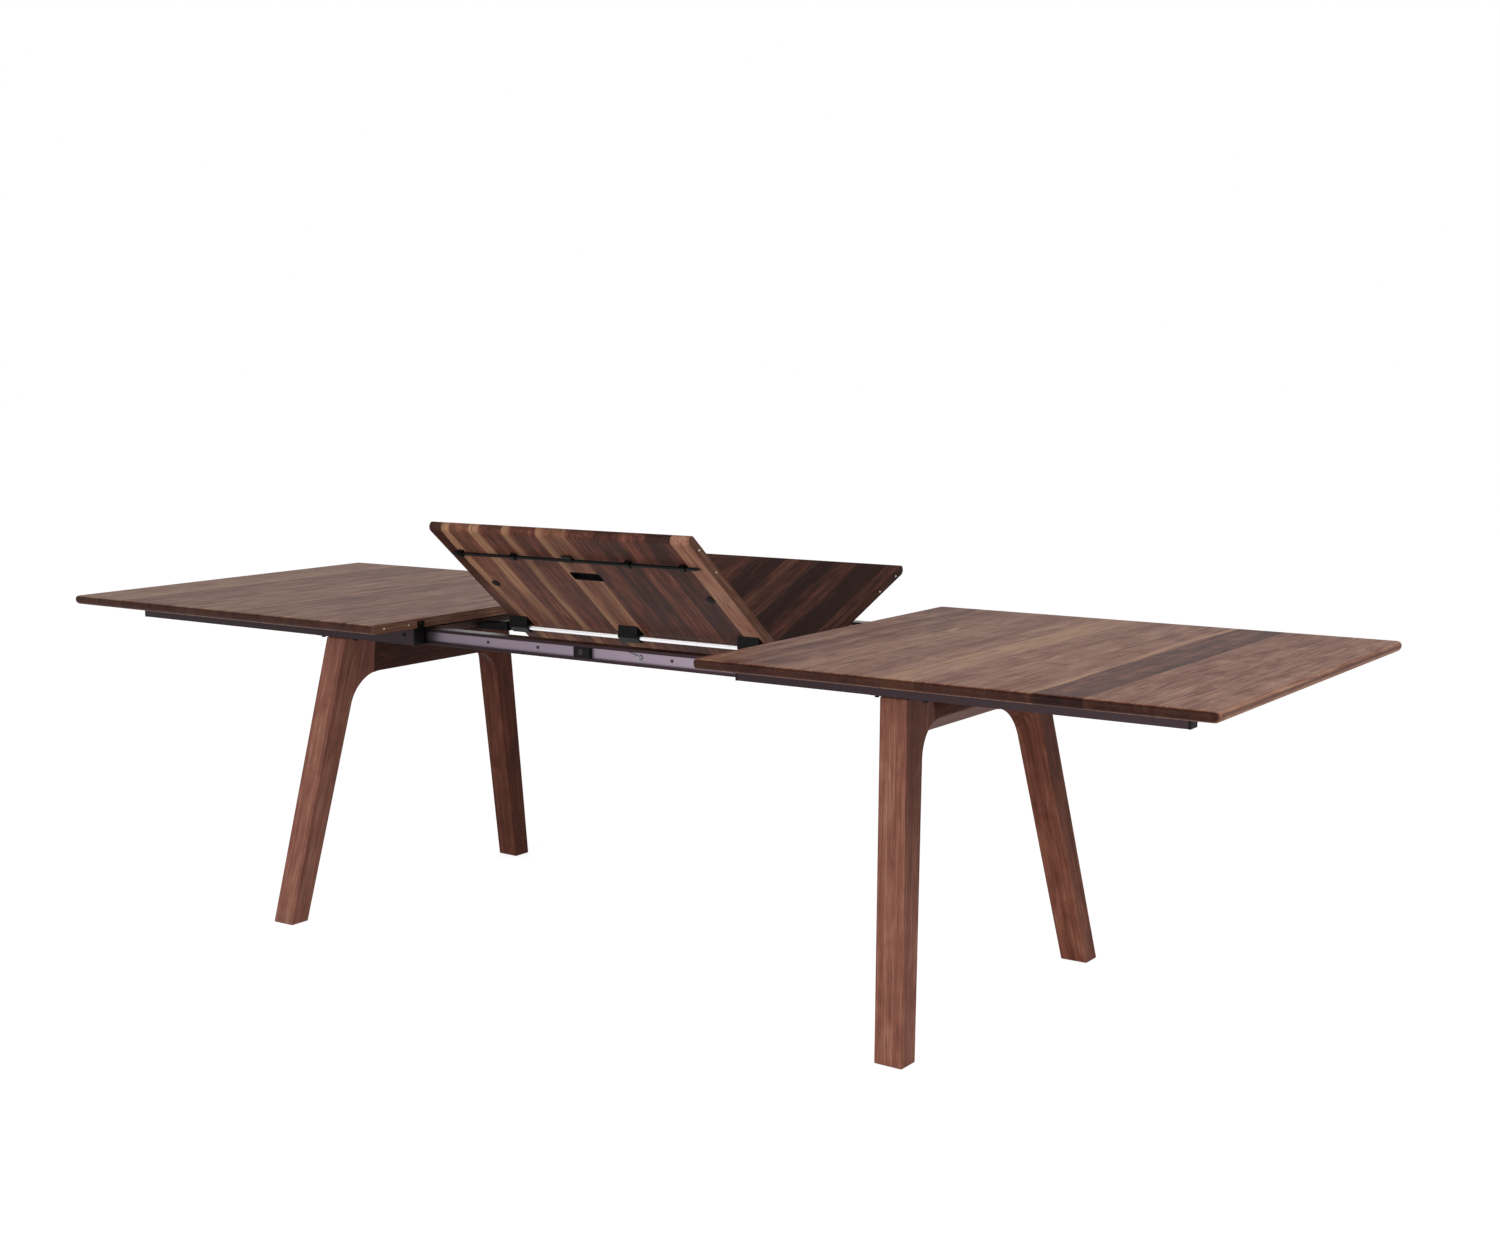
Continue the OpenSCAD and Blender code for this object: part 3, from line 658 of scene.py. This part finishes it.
rail_metal = brushed("bronze_rail", srgb(50, 39, 42), 0.9, 0.36)
beam_metal = beam_material("anodised_beam")
bar_metal = brushed("anodised_bar", srgb(92, 74, 70), 1.0, 0.38, stretch=(900, 8, 900))
rod_metal = brushed("ground_steel", srgb(246, 245, 247), 1.0, 0.28, streak=0.0, bump=0.0)
fixing_metal = brushed("zinc_steel", srgb(150, 148, 152), 1.0, 0.35, streak=0.05)
dark_metal = brushed("blued_steel", srgb(62, 54, 60), 1.0, 0.4, streak=0.05)
nickel_metal = brushed("pale_nickel", srgb(214, 208, 196), 1.0, 0.3, streak=0.05)
black_coat = moulded("black_steel", srgb(9, 6, 7), 0.5, 0.12)
black_plastic = moulded("black_plastic", srgb(10, 7, 8), 0.55, 0.12)
rubber = moulded("rubber", srgb(18, 16, 17), 0.75, 0.15, RUBBER_GRAIN)

RAILS = [f"{s}_{f}_rail" for s in ("left", "right") for f in ("front", "back")]
BEAMS = ["front_beam", "back_beam"]
BARS = [f"{s}_{b}" for b in ("cross_bar", "end_bar", "head_channel") for s in ("left", "right")]
paint(RAILS, rail_metal)
paint(BEAMS, beam_metal)
paint(BARS, bar_metal)
paint(["leaf_rod"], rod_metal)
paint(["cable_eyelet", "fold_hinge_pins"], fixing_metal)
paint(["beam_screws", "sync_block_bolt"], dark_metal)
paint(["left_dowels", "right_sockets", "front_leaf_dowels", "front_leaf_sockets",
       "back_leaf_dowels", "back_leaf_sockets", "fold_hinge_front", "fold_hinge_back"],
      nickel_metal)
paint(["head_bolts", "left_head_plate", "right_head_plate", "left_rod_bracket", "right_rod_bracket",
       "leaf_hinge_blocks", "lock_bar", "lock_bar_clips", "left_rail_screws", "right_rail_screws",
       "left_latch_plates", "right_latch_plates"], black_coat)
paint(["beam_end_caps", "sync_block", "left_rail_caps", "right_rail_caps", "left_rail_glides",
       "right_rail_glides", "finger_pull"], black_plastic)
paint(["foot_pads", "leaf_bumpers"], rubber)

soften(RAILS + BEAMS + BARS, PROFILE_EASE)
soften(["left_head_plate", "right_head_plate", "left_rod_bracket", "right_rod_bracket",
        "leaf_hinge_blocks", "lock_bar_clips", "sync_block", "beam_end_caps", "left_rail_caps",
        "right_rail_caps"], FITTING_EASE)
